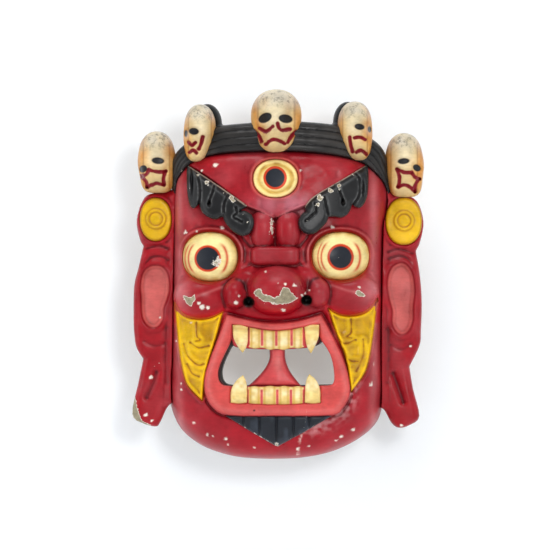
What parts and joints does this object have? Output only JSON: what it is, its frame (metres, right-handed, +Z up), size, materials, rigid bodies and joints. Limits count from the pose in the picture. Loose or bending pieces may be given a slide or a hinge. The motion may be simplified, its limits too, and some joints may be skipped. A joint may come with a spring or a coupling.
{
  "type": "wall mask",
  "caption": "Carved and painted wooden wall mask: wrathful guardian face with bulging eyes, fanged open mouth, skull crown, ear lobes and a swinging hanger ring.",
  "frame": {"origin": "pivot of the hanger ring, on the plane of the mask's back", "axes": "+Z up; the face looks along -Y and the flat back lies in the plane y = 0; +X to the viewer's right"},
  "size_m": [0.2621, 0.099, 0.3312],
  "materials": {
    "red_paint": "satin",
    "black_paint": "satin",
    "bone_paint": "satin",
    "yellow_paint": "satin",
    "eye_paint": "satin",
    "pink_paint": "satin",
    "tooth_paint": "satin",
    "bare_wood": "matte",
    "steel": "satin"
  },
  "bodies": {
    "mask": {"face_shell": "red_paint", "crown_band": "black_paint", "skull_center": "bone_paint", "skull_upper_left": "bone_paint", "skull_upper_right": "bone_paint", "skull_lower_left": "bone_paint", "skull_lower_right": "bone_paint", "skull_peg_center": "bare_wood", "skull_peg_upper_left": "bare_wood", "skull_peg_upper_right": "bare_wood", "skull_peg_lower_left": "bare_wood", "skull_peg_lower_right": "bare_wood", "ear_left": "red_paint", "ear_right": "red_paint", "ear_peg_left": "bare_wood", "ear_peg_right": "bare_wood", "ear_disc_left": "yellow_paint", "ear_disc_right": "yellow_paint", "eyeball_left": "eye_paint", "eyeball_right": "eye_paint", "third_eye": "eye_paint", "eyebrow_left": "black_paint", "eyebrow_right": "black_paint", "lip_frame": "pink_paint", "upper_teeth": "tooth_paint", "lower_teeth": "tooth_paint", "fang_upper_left": "tooth_paint", "fang_upper_right": "tooth_paint", "fang_lower_left": "tooth_paint", "fang_lower_right": "tooth_paint", "tongue": "red_paint", "beard": "black_paint", "cheek_panel_left": "yellow_paint", "cheek_panel_right": "yellow_paint", "hanger_strap": "steel", "hanger_screw_upper": "steel", "hanger_screw_lower": "steel"},
    "ring": {"hanger_ring": "steel"}
  },
  "joints": [
    {"name": "hanger_ring_swing", "type": "hinge", "parent": "mask", "child": "ring", "pos_m": [0, -0.0026, 0], "axis": [1, 0, 0], "range_deg": [-18, 180]}
  ]
}
